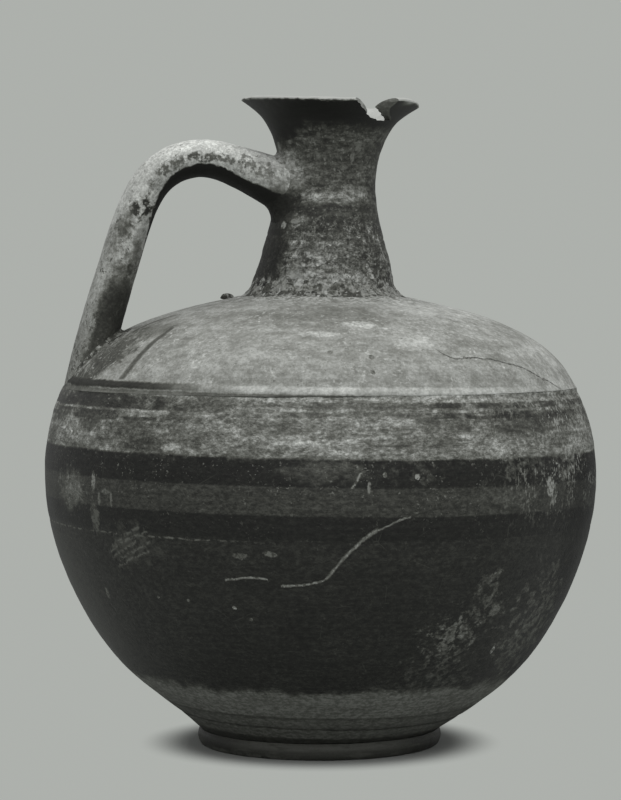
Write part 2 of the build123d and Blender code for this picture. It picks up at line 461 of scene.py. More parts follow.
class Graph:
    """Builds the nodes of a material or world in short steps, where a value is a number or a socket."""

    def __init__(self, owner):
        owner.use_nodes = True
        self.owner = owner
        self.nodes = owner.node_tree.nodes
        self.links = owner.node_tree.links

    def feed(self, node, values):
        """Feeds a node's inputs, by name or number."""
        for key, value in values.items():
            if isinstance(value, bpy.types.NodeSocket):
                self.links.new(value, node.inputs[key])
            else:
                node.inputs[key].default_value = value

    def add(self, kind, output, values=None, **settings):
        """Adds a node with its settings and inputs, and returns one of its outputs."""
        node = self.nodes.new("ShaderNode" + kind)
        for name, setting in settings.items():
            setattr(node, name, setting)
        self.feed(node, values or {})
        return node.outputs[output]

    def math(self, operation, *values):
        return self.add("Math", 0, dict(enumerate(values)), operation=operation)

    def vector(self, operation, *values):
        output = "Value" if operation in ("DOT_PRODUCT", "LENGTH") else "Vector"
        return self.add("VectorMath", output, dict(enumerate(values)), operation=operation)

    def minus(self, first, second):
        return self.math("SUBTRACT", first, second)

    def most(self, first, second):
        return self.math("MAXIMUM", first, second)

    def linear(self, value, slope, start):
        return self.math("MULTIPLY_ADD", value, slope, start)

    def both(self, *shares):
        """Multiplies shares."""
        result = shares[0]
        for share in shares[1:]:
            result = self.math("MULTIPLY", result, share)
        return result

    def fade(self, value, low, high):
        """Goes smoothly from 0 to 1 as the value goes from low to high."""
        places = {"Value": value, "From Min": low, "From Max": high}
        return self.add("MapRange", "Result", places, interpolation_type="SMOOTHSTEP")

    def between(self, value, low, high, soft):
        """Is 1 between low and high, with soft edges."""
        below = self.fade(value, high + soft, high - soft)
        return self.both(self.fade(value, low - soft, low + soft), below)

    def mix(self, share, first, second):
        return self.add("Mix", "Result", {"Factor": share, "A": first, "B": second})

    def noise(self, size, detail=3.0, rough=0.6, seed=0, stretch=(1, 1, 1)):
        """Returns noise round 0.5, with blots about size millimetres across."""
        scale = tuple(1 / (size * part) for part in stretch)
        moved = self.vector("MULTIPLY_ADD", self.place, scale, (seed * 7.3, seed * 3.1, seed * 5.7))
        values = {"Vector": moved, "Scale": 1.0, "Detail": detail, "Roughness": rough}
        return self.add("TexNoise", "Fac", values)

    def specks(self, size, share, soft=0.04, seed=0, stretch=(1, 1, 1), detail=2.0):
        """Marks ragged specks: the higher the share, the more of the surface they cover."""
        level = 0.5 + (0.5 - share) * 0.42
        return self.fade(self.noise(size, detail, 0.6, seed, stretch), level - soft, level + soft)

    def hairs(self, size, width, seed):
        """Marks a net of fine lines whose cells are about size millimetres wide."""
        moved = self.vector("MULTIPLY_ADD", self.place, (1 / size,) * 3, (seed, seed, seed))
        off = self.add("TexVoronoi", "Distance", {"Vector": moved, "Scale": 1.0}, feature="DISTANCE_TO_EDGE")
        return self.fade(off, 2 * width / size, width / size)

    def attribute(self, name):
        """Reads a share that the mesh stores by name."""
        return self.add("Attribute", "Fac", attribute_name=name)

    def vary(self, tone, noise, swing):
        """Lets a tone follow a noise up and down by half the swing."""
        return self.linear(self.minus(noise, 0.5), swing, tone)

    def wheel_place(self, wheel):
        """Returns bearing in degrees, height, and the places sideways and ahead about a wheel's axis."""
        local = self.vector("SUBTRACT", self.place, wheel.foot)
        axes = (wheel.front, wheel.right, wheel.up)
        ahead, sideways, height = (self.vector("DOT_PRODUCT", local, axis) for axis in axes)
        bearing = self.math("DEGREES", self.math("ARCTAN2", sideways, ahead))
        return bearing, height, sideways, ahead

    def curve(self, value, places):
        """Follows a curve through places whose shares all lie from 0 to 1."""
        output = self.add("FloatCurve", "Value", {"Value": value})
        line = output.node.mapping.curves[0]
        line.points[0].location = places[0]
        line.points[1].location = places[-1]
        for place in places[1:-1]:
            line.points.new(*place)
        output.node.mapping.update()
        return output

    def finish(self, tone, rough, relief, depth):
        """Turns a print grey from 0 to 1 into the shader's colour, and a relief into its bump."""
        light = self.math("POWER", self.most(tone, 0.02), 2.2)
        warm = self.fade(tone, 0.1, 0.7)
        red = self.both(light, 0.975)
        blue = self.both(light, self.mix(warm, 0.84, 0.95))
        colour = self.add("CombineColor", "Color", {"Red": red, "Green": light, "Blue": blue})
        normal = self.add("Bump", "Normal", {"Strength": 1.0, "Distance": depth * MM, "Height": relief})
        values = {"Base Color": colour, "Roughness": rough, "Specular IOR Level": 0.32, "Normal": normal}
        self.feed(self.shader, values)
        return self.owner


def start_material(name):
    """Starts a node material whose places are in millimetres."""
    g = Graph(bpy.data.materials.new(name))
    g.shader = g.nodes["Principled BSDF"]
    place = g.add("TexCoord", "Object")
    g.place = g.add("VectorMath", "Vector", {0: place, "Scale": 1 / MM}, operation="SCALE")
    return g


class Canvas:
    """Paint on a surface with two coordinates, on which photo pixels have their places."""

    def __init__(self, g, x, z, spot, tone):
        self.g, self.x, self.z, self.spot, self.tone = g, x, z, spot, tone
        self.flat = g.add("CombineXYZ", "Vector", {"X": x, "Y": z})
        self.edge = g.minus(g.noise(4.6, 6.0, 0.72, 7), 0.5)
        self.grit = g.specks(1.5, 0.55, 0.05, 8)
        self.blots = g.specks(3.0, 0.52, 0.06, 9, detail=6.0)

    def lay(self, tone, *shares):
        """Covers the product of shares of the surface with a tone."""
        self.tone = self.g.mix(self.g.both(*shares), self.tone, tone)

    def line(self, top_pixel, bottom_pixel, soft=0.3):
        """Marks a band that runs round the surface between the heights of two pixels."""
        return self.g.between(self.z, self.spot(bottom_pixel)[1], self.spot(top_pixel)[1], soft)

    def weather(self, swing, size, detail=4.0, rough=0.8, seed=0, stretch=(1, 1, 1)):
        """Lets all the paint so far flicker with a noise, in proportion to its tone."""
        flicker = self.g.fade(self.g.noise(size, detail, rough, seed, stretch), 0.36, 0.64)
        self.tone = self.g.both(self.tone, self.g.linear(flicker, swing, 1 - swing / 2))

    def patch(self, column, row, half_width, half_height, ragged, soft):
        """Marks a ragged patch round a photo pixel, with half sizes in millimetres."""
        x, z, unit = self.spot((column, row))
        scale = (unit / half_width, 1 / half_height, 0)
        shift = (-x * scale[0], -z * scale[1], 0)
        far = self.g.vector("LENGTH", self.g.vector("MULTIPLY_ADD", self.flat, scale, shift))
        return self.g.fade(self.g.linear(self.edge, 5 * ragged, far), 1 + soft, 1 - soft)

    def stains(self, marks):
        """Lays broad uneven patches."""
        for *place, tone, strength in marks:
            self.lay(tone, self.patch(*place, 0.7, 0.6), strength)

    def scuffs(self, marks):
        """Lays patches that are broken up into flakes."""
        for *place, tone, strength in marks:
            self.lay(tone, self.patch(*place, 1.0, 0.4), self.blots, strength)

    def flecks(self, marks):
        """Lays small flecks with a gritty surface."""
        for *place, tone in marks:
            self.lay(tone, self.patch(*place, 0.6, 0.2), self.g.mix(self.grit, 0.45, 1.0))

    def stroke(self, pixels, half_width, soft=0.25, waver=1.2):
        """Marks a thin line through photo pixels, followed the way it is longer."""
        spots = np.array([self.spot(pixel) for pixel in pixels])
        unit = spots[0, 2]
        points = spots[:, :2] * (unit, 1.0)
        run, rise = self.g.both(self.x, unit), self.z
        if np.ptp(points[:, 1]) > np.ptp(points[:, 0]):
            points, run, rise = points[:, ::-1], rise, run
        points = points[np.argsort(points[:, 0])]
        start, low = points[0, 0], points[:, 1].min()
        length, span = np.ptp(points[:, 0]), np.ptp(points[:, 1]) + 0.01
        along = self.g.math("DIVIDE", self.g.minus(run, start), length)
        places = ((points - (start, low)) / (length, span)).tolist()
        middle = self.g.linear(self.g.curve(along, places), span, low)
        height = self.g.linear(self.edge, waver, rise)
        off = self.g.math("ABSOLUTE", self.g.minus(height, middle))
        inside = self.g.between(along, 0.0, 1.0, 0.02)
        return self.g.both(self.g.fade(off, half_width + soft, half_width - soft), inside)


def body_spot(pixel):
    """Finds a photo pixel on the body: bearing, height in the bands' tilt, millimetres per degree."""
    bearing, height = body_wheel.spot(pixel)
    radius = body_wheel.radius_at(height)
    return bearing, height + band_tilt * radius * sin(radians(bearing)), radians(radius)


def neck_spot(pixel):
    """Finds a photo pixel on the neck: bearing and height about its axis, millimetres per degree."""
    return *neck_wheel.spot(pixel), radians(throat_radius)


def handle_spot(pixel):
    """Finds a photo pixel on the handle: millimetres along and across, and millimetres per unit."""
    rays = handle_line - eye
    depth = rays @ view_ahead / pixels_per_radian
    columns = photo_width / 2 + rays @ image_right / depth
    rows = photo_height / 2 - rays @ view_up / depth
    seen = np.stack([columns, rows], axis=1)
    nearest = min(max(int(np.argmin(np.linalg.norm(seen - pixel, axis=1))), 1), len(seen) - 2)
    tangent = seen[nearest + 1] - seen[nearest - 1]
    tangent /= np.linalg.norm(tangent)
    off = pixel - seen[nearest]
    side = off[1] * tangent[0] - off[0] * tangent[1]
    return nearest * handle_step, side / pixels_per_radian * camera_distance, 1.0


def side_of(g, bearing):
    """Folds a bearing so that the back has the front's sides and no seam: -90 left, 90 right."""
    return g.minus(g.math("PINGPONG", g.math("ADD", bearing, 90.0), 180.0), 90.0)


def turned_level(g):
    """Returns the bearing, its side and the bands' own wavering, tilted height on the body."""
    bearing, height, sideways, _ = g.wheel_place(body_wheel)
    level = g.linear(sideways, band_tilt, height)
    level = g.vary(level, g.noise(14.0, 3.0, 0.6, 141), 1.0)
    return bearing, side_of(g, bearing), g.vary(level, g.noise(1.8, 4.0, 0.65, 142), 1.1)


def fine_relief(g, cut, seed):
    """Returns the fine relief of worn clay, into which pits and cuts go."""
    pits = g.both(g.specks(2.6, 0.10, 0.06, seed + 1), -0.5)
    return g.linear(cut, -0.7, g.linear(g.noise(0.8, 4.0, 0.7, seed), 0.55, pits))


# Tones of slip, clay and lime, and of painted shade, as greys of the print
# Black of the painted shade on the body's right side
shaded_edge_black = 0.08
black_slip = 0.12
shaded_slip = 0.16
dark_slip = 0.18
line_slip = 0.20
lit_slip = 0.22
slip_grey = 0.23
deep_grey = 0.24
flake_grey = 0.27
worn_slip = 0.30
thin_slip = 0.36
dirty_clay = 0.42
dull_clay = 0.47
faded_paint = 0.50
clay_grey = 0.52
pale_clay = 0.58
lime_grey = 0.60
light_clay = 0.65
lime_pale = 0.66
lime_white = 0.80

# Painted bands by height on the body
low_band = (90.6, 99.1)
grey_band = (99.2, 109.9)
high_band = (109.9, 120.0)
thinned_zone = (80.0, 89.0)
turned_groove = (89.0, 89.6)
foot_groove = (13.1, 13.7)
ridge_zone = (143.3, 145.9)

# Edges on the body: the heights where a tone starts and where it is full
left_low_edge = (96.0, 80.0)
reserve_edge = (119.4, 120.6)
upper_edge = (84.0, 112.0)
mottle_edge = (108.0, 121.0)
rubbed_top = (32.4, 28.6)
rubbed_foot = (18.0, 19.4)
slope_edge = (19.2, 17.6)
foot_slip_edge = (9.5, 8.3)
crusted_edge = (174.5, 178.5)
dark_left_edge = (170.0, 160.0)
seam_edge = (143.2, 142.6)

# Sides of the body: the folded bearings where a tone starts and where it is full
left_rim = (-46.0, -68.0)
right_rim = (50.0, 68.0)
left_lines = (-14.0, -38.0)
right_lines = (-24.0, -10.0)
deep_line_side = (32.0, 44.0)
speckled_side = (24.0, 56.0)
groove_side = (0.0, -30.0)
dark_left_side = (-52.0, -74.0)
ridge_left = (-44.0, -14.0)
ridge_right = (34.0, 55.0)

# Painted lines of the reserved zone as photo pixels at their upper and lower edges
left_dark_line = ((110, 394), (110, 408))
left_light_line = ((180, 411.5), (180, 414))
left_thin_line = ((190, 419.5), (190, 423.5))
right_upper_line = ((470, 403), (470, 408.5))
right_light_line = ((470, 409.5), (470, 412))
right_lower_line = ((470, 413), (470, 419))
right_deep_line = ((545, 404), (545, 429))
line_start_pixel = (431.8, 410)

# Marks are listed by photo pixel, half width and half height in millimetres, and tone. Stains and
# scuffs have a strength too.

# Broad stains of the bowl
bowl_stains = [
    (87, 402, 26, 6.5, dark_slip, 0.95), (72, 402, 20, 4, dark_slip, 0.9),
    (140, 429, 14, 3.4, worn_slip, 0.7), (150, 447, 16, 3.2, slip_grey, 0.8),
    (72, 424, 7, 5, pale_clay, 0.9), (205, 402, 10, 3.4, thin_slip, 0.6),
    (285, 401, 18, 2.8, clay_grey, 0.6), (285, 430, 12, 2.6, thin_slip, 0.7),
    (177, 448, 5, 1.6, pale_clay, 0.9), (228, 438, 11, 4.4, dull_clay, 0.6),
    (200, 400, 9, 2.4, dirty_clay, 0.6), (285, 398, 16, 2, clay_grey, 0.7),
    (563, 398, 7, 3.4, worn_slip, 0.8), (243, 451, 8, 3, thin_slip, 0.8),
    (332, 446, 15, 3.6, pale_clay, 0.9), (360, 428, 10, 2.8, clay_grey, 0.6),
    (420, 447, 9, 3.4, thin_slip, 0.7), (440, 427, 9, 3, thin_slip, 0.7),
    (503, 446, 12, 3.8, clay_grey, 0.9), (430, 398, 40, 2.2, clay_grey, 0.7),
    (522, 425, 16, 4, slip_grey, 0.8), (579, 412, 6, 7, dull_clay, 0.8), (572, 445, 8, 5, dull_clay, 0.6),
    (70, 487, 9, 6.5, dirty_clay, 0.9), (505, 497, 14, 3.4, worn_slip, 0.7),
    (324, 471, 14, 4, worn_slip, 0.8), (170, 690, 20, 12, dark_slip, 0.7),
]

# Flaked and rubbed places of the slip
bowl_scuffs = [
    (452, 638, 11, 8, dirty_clay, 0.9), (488, 612, 8, 4, thin_slip, 0.9), (492, 590, 5, 6, thin_slip, 0.9),
    (526, 630, 16, 17, thin_slip, 0.9), (440, 680, 14, 8, worn_slip, 0.8),
    (540, 590, 8, 12, worn_slip, 0.7), (420, 472, 12, 3.4, worn_slip, 0.6),
    (525, 466, 12, 4, thin_slip, 0.7), (568, 462, 10, 8, dirty_clay, 0.8),
    (160, 615, 14, 16, dark_slip, 0.8),
]

# Small flecks of lime and bruises
bowl_flecks = [
    (551, 486, 2.2, 3.6, pale_clay), (554, 500, 1.4, 2.8, clay_grey), (369, 488, 0.6, 2.4, dull_clay),
    (417.5, 476.6, 0.9, 1.2, pale_clay), (385, 474, 0.7, 0.9, clay_grey), (269, 554, 2.4, 1, dirty_clay),
    (240, 556, 2.8, 1, thin_slip), (93, 481, 1, 4.2, clay_grey), (105, 491, 2.6, 0.9, dirty_clay),
    (111, 499, 0.9, 2.6, dirty_clay), (99, 499, 0.9, 2.6, dirty_clay), (95, 517, 2.4, 5.4, thin_slip),
    (107, 594, 1.2, 2.2, dirty_clay), (234, 608, 0.9, 0.8, lime_white), (158, 597, 0.7, 0.5, dull_clay),
    (188, 600, 0.6, 0.6, dirty_clay), (251, 619, 0.6, 0.6, dirty_clay), (491, 650, 1, 1.6, light_clay),
    (487, 642, 2, 1.6, black_slip),
]

# Scratches and the hatched bruise
scratch_left_pixels = [(225, 580), (237, 579), (252, 577.5), (268, 581)]
scratch_thin_pixels = [(281, 586), (300, 585.5), (315, 583), (328, 577)]
scratch_pixels = [(326, 578), (333, 572), (340, 562), (352, 550), (368, 536), (378, 530)]
scratch_end_pixels = [(376, 531), (388, 526), (400, 520), (411, 517)]
lime_hook_pixels = [(352, 489), (356, 482), (361, 473), (369, 469.5)]
bruise = (131, 546, 11, 7)
hatch_pixels = [
    [(112, 546), (124, 536), (139, 527)],
    [(110, 552), (126, 540), (147, 531)],
    [(112, 558), (122, 551), (136, 541)],
    [(119, 560), (134, 551), (150, 541)],
    [(118, 567), (131, 560), (149, 551)],
]


def bowl_material():
    """Slip and reserved clay of the bowl, painted by height and bearing about the wheel's axis."""
    g = start_material("bowl_slip")
    bearing, side, level = turned_level(g)
    streak = g.noise(3.0, 4.0, 0.6, 23, (9, 9, 0.35))
    slip = g.vary(g.vary(0.148, streak, 0.09), g.noise(22.0, 4.0, 0.6, 22), 0.07)
    paint = Canvas(g, bearing, level, body_spot, slip)
    # Painted sheen on the low body's left side, and painted shade on its right side, as the light falls from
    # the left
    right_shade = g.both(g.fade(side, *right_rim), 0.65)
    paint.lay(lit_slip, g.fade(side, *left_rim), g.fade(level, *left_low_edge), 0.75)
    paint.lay(shaded_edge_black, right_shade)

    # Bands and the zones between them, darker on the right side under the painted shade
    band = g.mix(right_shade, g.vary(0.120, streak, 0.05), 0.07)
    paint.lay(g.mix(right_shade, g.vary(0.222, streak, 0.12), 0.12), g.between(level, *grey_band, 0.5))
    for zone in (low_band, high_band):
        paint.lay(band, g.between(level, *zone, 0.5))
    paint.lay(0.19, g.between(level, *thinned_zone, 2.0), paint.blots, 0.5)
    paint.lay(g.vary(0.43, streak, 0.38), g.fade(level, *reserve_edge))

    # Thin lines of the reserved zone
    line_bearing = body_spot(line_start_pixel)[0]
    left_side = g.fade(side, *left_lines)
    right_side = g.fade(side, line_bearing - 0.4, line_bearing + 0.4)
    worn = g.fade(g.noise(5.0, 4.0, 0.7, 26, (1.6, 1.6, 1)), 0.66, 0.42)
    faint = g.mix(g.most(left_side, right_side), 0.38, 0.95)
    paint.lay(line_slip, paint.line(*left_dark_line, 0.6), left_side, worn)
    paint.lay(slip_grey, paint.line(*right_deep_line, 1.2), g.fade(side, *deep_line_side), worn, 0.7)
    paint.stains(bowl_stains)
    paint.lay(deep_grey, paint.line(*left_thin_line), left_side, worn)
    paint.lay(faded_paint, paint.line(*left_light_line), left_side, g.mix(worn, 0.4, 0.9))
    not_left = g.fade(side, *right_lines)
    for pixels in (right_upper_line, right_lower_line):
        paint.lay(line_slip, paint.line(*pixels), not_left, faint, worn)
    paint.lay(faded_paint, paint.line(*right_light_line), not_left, paint.blots, 0.7)
    paint.scuffs(bowl_scuffs)

    # Worn mottle, strong in the reserved zone and weak on the dark slip
    upper = g.fade(level, *upper_edge)
    clay_mottle = g.fade(g.noise(9.0, 6.0, 0.8, 24, (1.6, 1.6, 0.6)), 0.38, 0.62)
    clay_share = g.linear(clay_mottle, 0.44, 0.78)
    paint.tone = g.both(paint.tone, g.mix(g.fade(level, *mottle_edge), 1.0, clay_share))
    paint.weather(0.36, 1.7, 4.0, 0.85, 27, (1.5, 1.5, 0.9))

    # Rubbed zone above the foot, its paleness partly painted light against the shade near the floor, and the
    # groove over it
    ragged = g.vary(level, g.noise(8.0, 6.0, 0.78, 32, (1.6, 1.6, 1)), 15.0)
    paint.lay(g.vary(0.41, streak, 0.16), g.fade(ragged, *rubbed_top), g.fade(level, *rubbed_foot))
    # Painted light: the slope under the belly and the edge at the foot are paler than the slip above,
    # against the shade that falls there
    paint.lay(g.vary(thin_slip, streak, 0.14), g.fade(level, *slope_edge))
    paint.lay(0.14, g.between(level, *foot_groove, 0.3), 0.6)
    paint.lay(lit_slip, g.fade(level, *foot_slip_edge))
    paint.weather(0.36, 1.5, 3.0, 0.8, 33, (1.5, 1.5, 0.8))

    # Lime specks and fine scratches, thicker above the belly and towards the right
    speckled = g.both(g.fade(side, *speckled_side), g.fade(g.noise(9.0, 4.0, 0.7, 34), 0.42, 0.56))
    clusters = g.both(g.specks(9.0, 0.5, 0.08, 35), g.mix(upper, 0.25, 1.0))
    paint.lay(0.46, g.specks(1.1, 0.14, 0.05, 28), clusters, 0.9)
    paint.lay(0.56, g.specks(1.3, 0.34, 0.04, 29, (0.9, 0.9, 1.7), 4.0), upper, speckled)
    paint.lay(thin_slip, g.hairs(16.0, 0.08, 30), g.specks(9.0, 0.28, 0.05, 31), 0.35)
    paint.lay(dirty_clay, g.between(level, *turned_groove, 0.3), g.fade(side, *groove_side), paint.blots)

    # Marks
    paint.flecks(bowl_flecks)
    paint.lay(worn_slip, paint.patch(*bruise, 0.8, 0.4), g.mix(paint.blots, 0.2, 0.7))
    for pixels in hatch_pixels:
        paint.lay(dirty_clay, paint.stroke(pixels, 0.5, 0.7, 3.0), g.mix(paint.grit, 0.1, 0.9))
    chalk = g.vary(0.50, g.noise(1.2, 3.0, 0.6, 41), 0.5)
    paint.lay(0.55, paint.stroke(lime_hook_pixels, 0.5, 0.5, 2.4), g.mix(paint.grit, 0.3, 1.0))
    thin = g.most(paint.stroke(scratch_left_pixels, 0.4), paint.stroke(scratch_thin_pixels, 0.45))
    wide = paint.stroke(scratch_pixels, 0.8, 0.6, 2.4)
    wide = g.most(wide, paint.stroke(scratch_end_pixels, 0.4))
    paint.lay(chalk, thin, g.mix(paint.grit, 0.55, 1.0))
    paint.lay(chalk, wide, g.mix(paint.grit, 0.7, 1.0))
    rough = g.mix(g.fade(paint.tone, 0.15, 0.5), 0.55, 0.86)
    made = g.finish(paint.tone, rough, fine_relief(g, g.most(thin, wide), 142), 0.22)
    g.feed(g.shader, {"Specular IOR Level": g.mix(right_shade, 0.32, 0.0)})
    return made


# Marks of the shoulder
dome_stains = [
    (418, 341, 8, 3, light_clay, 0.8), (478, 347, 15, 3.2, dull_clay, 0.7),
    (330, 336, 13, 3, dull_clay, 0.7), (160, 353, 9, 4, dull_clay, 0.6), (545, 360, 16, 5, light_clay, 0.6),
    (440, 308, 28, 4, light_clay, 0.8), (250, 318, 24, 2.6, dull_clay, 0.7),
    (325, 315, 26, 3.4, dirty_clay, 0.9), (220, 360, 18, 5, pale_clay, 0.6),
    (150, 331, 14, 3.2, thin_slip, 0.8), (108, 356, 13, 8, slip_grey, 0.9), (82, 382, 9, 5, slip_grey, 0.9),
    (102, 380, 4, 4, pale_clay, 0.9), (560, 384, 12, 3, light_clay, 0.7),
]
dome_flecks = [
    (372, 357, 0.9, 0.8, worn_slip), (372.7, 372, 0.8, 0.8, worn_slip), (330, 352, 0.8, 0.7, thin_slip),
    (362, 325, 6, 1, light_clay), (320, 334, 8, 0.9, light_clay), (99, 321, 2, 1, light_clay),
]
crack_pixels = [
    (436, 349), (446, 355), (456, 358.6), (470, 358), (490, 359), (502, 362), (514, 365),
    (527, 370), (545, 380),
]
crack_end_pixels = [(543, 378), (551, 382), (561, 389)]
leaf_upper_pixels = [(131, 333), (143, 326), (158, 320), (177, 314.5)]
leaf_lower_pixels = [(121, 379), (134, 362), (150, 345), (172, 327)]


def dome_material():
    """Pale clay of the shoulder, dirty at the roots of handle and neck."""
    g = start_material("shoulder_clay")
    bearing, side, level = turned_level(g)
    streak = g.noise(3.0, 4.0, 0.6, 123, (9, 9, 0.5))
    base = g.vary(g.vary(0.53, streak, 0.16), g.noise(26.0, 4.0, 0.6, 122), 0.12)
    paint = Canvas(g, bearing, level, body_spot, base)
    paint.stains(dome_stains)
    paint.lay(lime_pale, g.specks(1.8, 0.20, 0.06, 125), g.specks(14.0, 0.5, 0.2, 129))
    paint.lay(0.38, g.specks(1.2, 0.07, 0.04, 126), 0.8)

    # Lime and dirty specks round the root of the neck, and a darker left side with lime specks towards the
    # handle's root
    root = g.fade(level, *crusted_edge)
    paint.lay(thin_slip, root, g.specks(2.0, 0.46, 0.08, 127), 0.8)
    paint.lay(0.68, root, g.specks(1.6, 0.36, 0.06, 128))
    darkening = g.fade(side, *dark_left_side)
    paint.lay(deep_grey, darkening, g.fade(level, *dark_left_edge), paint.blots, 0.8)
    paint.lay(lime_grey, darkening, g.specks(1.3, 0.20, 0.05, 130))
    for pixels in (leaf_upper_pixels, leaf_lower_pixels):
        paint.lay(flake_grey, paint.stroke(pixels, 1.6, 0.9), g.mix(paint.blots, 0.8, 1.0))
    paint.flecks(dome_flecks)

    # Ridge with a painted highlight along its top, palest in front, and painted shade in the groove under it
    ridge = g.mix(g.fade(side, *ridge_left), 0.18, 0.65)
    ridge = g.mix(g.fade(side, *ridge_right), ridge, 0.57)
    paint.lay(ridge, g.between(level, *ridge_zone, 0.5))
    paint.lay(thin_slip, g.fade(level, *seam_edge))
    paint.weather(0.22, 5.0, 6.0, 0.75, 124, (1.5, 1.5, 1))
    paint.weather(0.16, 1.4, 3.0, 0.8, 131)
    crack = paint.stroke(crack_pixels, 0.16, 0.2, 1.8)
    crack = g.most(crack, paint.stroke(crack_end_pixels, 0.14, 0.2))
    paint.lay(0.17, crack, g.mix(paint.grit, 0.5, 1.0))
    return g.finish(paint.tone, 0.84, fine_relief(g, crack, 144), 0.22)


# Where the foot's slip grows paler and where it is rubbed: by height, and to the image's right
foot_pale_edge, foot_rubbed_edge = (2.0, 5.0), (2.4, 0.4)
foot_dark_sides, foot_rubbed_side = (24.0, 42.0), (0.0, -20.0)


def foot_material():
    """Dark slip of the foot, painted paler than the body's slip as painted light against the shade under the
    belly, most in its upper part, and with paler worn strips.
    """
    g = start_material("foot_slip")
    streak = g.noise(2.4, 4.0, 0.6, 151, (8, 8, 0.35))
    wear = g.specks(3.0, 0.24, 0.08, 152, (3, 3, 0.6))
    _, height, sideways, _ = g.wheel_place(body_wheel)
    # Painted light: paler tones, most in the upper part, lift the shade under the belly
    dark = g.mix(g.fade(height, *foot_pale_edge), 0.245, 0.345)
    dark = g.mix(g.fade(g.math("ABSOLUTE", sideways), *foot_dark_sides), dark, 0.20)
    tone = g.mix(wear, g.vary(dark, streak, 0.12), 0.31)
    rubbed = g.both(g.fade(height, *foot_rubbed_edge), g.fade(sideways, *foot_rubbed_side))
    rubbed = g.both(rubbed, g.specks(2.6, 0.6, 0.1, 153))
    tone = g.mix(rubbed, tone, thin_slip)
    grain = g.noise(0.9, 4.0, 0.7, 154)
    return g.finish(g.vary(tone, grain, 0.08), g.mix(wear, 0.55, 0.8), grain, 0.18)


# Where the handle's clay is smeared onto the neck: photo pixels of its faint and full sides, and of
# its lower and upper edges
smear_side_pixels = [(322, 170), (284, 170)]
smear_height_pixels = [(284, 196), (284, 146)]

# Zones of the neck by height, and edges where a tone starts and where it is full
throat_groove = (22.3, 22.8)
shaded_zone = (3.0, 37.0)
lime_edge = (34.0, 0.0)
crust_edge = (36.0, 22.0)
toe_edge = (9.0, 2.0)
mouth_slip_edge = (60.5, 66.0)
worn_lip_edge = (neck_length - 1.8, neck_length - 0.9)
crumbs_edge = (36.0, 10.0)
inner_dark_edge = (60.0, 40.0)
root_dull_edge = (46.0, 38.0)
root_clay_edge = (36.0, 42.0)
root_shade_edge = (39.5, 35.0)

# How far inside the neck's outer wall its inner tone starts and is full
inner_depths = (1.0, 1.8)

# Sides of the neck: the folded bearings where a tone starts and where it is full
lime_left = (-52.0, -28.0)
lime_right = (28.0, 56.0)
shaded_side = (-30.0, -48.0)
mouth_left = (-46.0, -20.0)

# Marks of the neck, with painted shade of the handle
neck_stains_and_shade = [
    (328, 196.5, 12, 2.2, clay_grey, 0.9), (302, 188, 6, 3, dirty_clay, 0.8),
    (354, 192, 6, 2, dull_clay, 0.8), (345, 210, 20, 1.6, dark_slip, 0.5),
    (350, 223, 24, 3, dark_slip, 0.8), (301, 251, 6, 3.4, slip_grey, 0.9),
    (298, 222, 5, 2.2, thin_slip, 0.7), (335, 250, 9, 5, dirty_clay, 0.6),
    (318, 283, 13, 4, dirty_clay, 0.6), (382, 276, 8, 7, slip_grey, 0.9), (364, 293, 10, 3, worn_slip, 0.9),
    # The black patch low on the left and the dark patch under the handle's root are painted shade of the
    # handle
    (268, 272, 5, 8, black_slip, 0.9), (320, 168, 9, 5, thin_slip, 0.6), (292, 206, 8, 2.6, dark_slip, 0.8),
]
neck_flecks = [
    (279, 148, 1.2, 2, clay_grey), (289, 142, 1.6, 0.8, dirty_clay), (284, 225, 1.2, 1.4, pale_clay),
    (295, 221, 1.6, 0.9, clay_grey), (262, 281, 1.2, 1.3, pale_clay), (297, 275, 2.4, 1.6, pale_clay),
    (352, 158, 1, 2.6, dirty_clay), (358, 148, 1.2, 1.6, dirty_clay),
]


